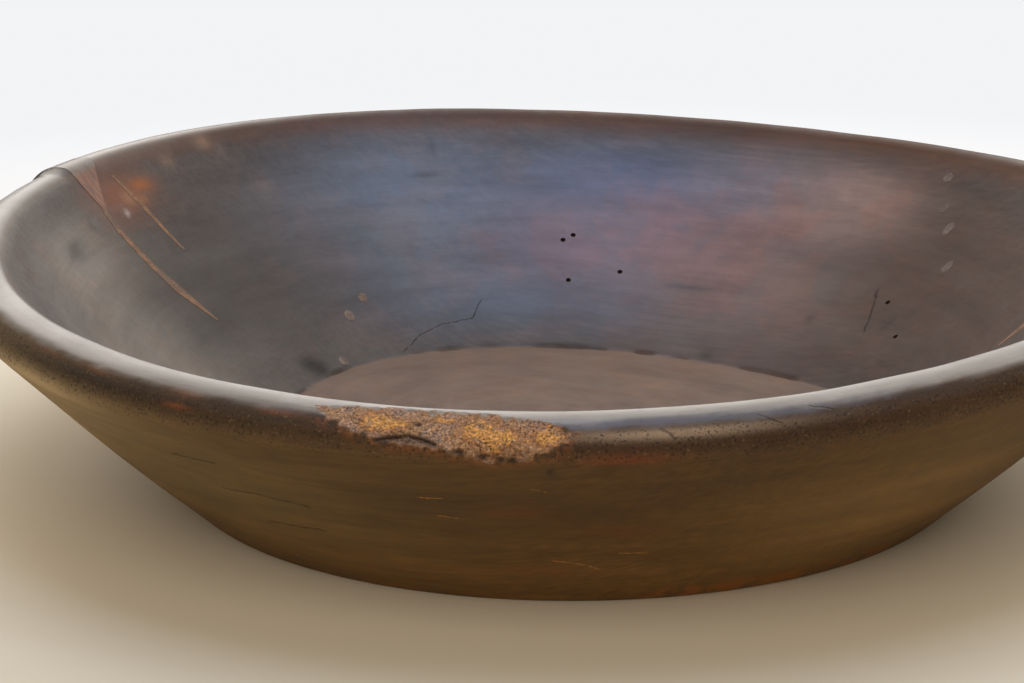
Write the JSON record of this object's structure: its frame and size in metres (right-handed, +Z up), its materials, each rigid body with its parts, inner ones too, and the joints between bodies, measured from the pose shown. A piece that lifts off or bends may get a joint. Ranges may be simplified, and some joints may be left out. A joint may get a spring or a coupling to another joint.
{
  "type": "dough bowl",
  "caption": "Wide round dough bowl hewn from one block of dark wood, with flared walls, a rounded lip that rises at the ends of the grain, and old mended splits.",
  "frame": {"origin": "centre of the flat underside, on the surface the bowl stands on", "axes": "+Z up, X along the grain, from the wedged split at -X to the split at +X, Y across the grain"},
  "size_m": [0.5526, 0.534, 0.1147],
  "materials": {
    "patinated_wood": "dark, hand-worn and waxed",
    "wedge_wood": "worn, redder",
    "putty": "dull tan filler"
  },
  "bodies": {
    "root": {"bowl": "patinated_wood", "left_rim_wedge": "wedge_wood", "left_split_filler": "putty", "left_short_split_filler": "putty", "right_split_filler": "putty", "left_wall_hole_plugs": "putty", "right_wall_dent_fillers": "putty"}
  },
  "joints": []
}
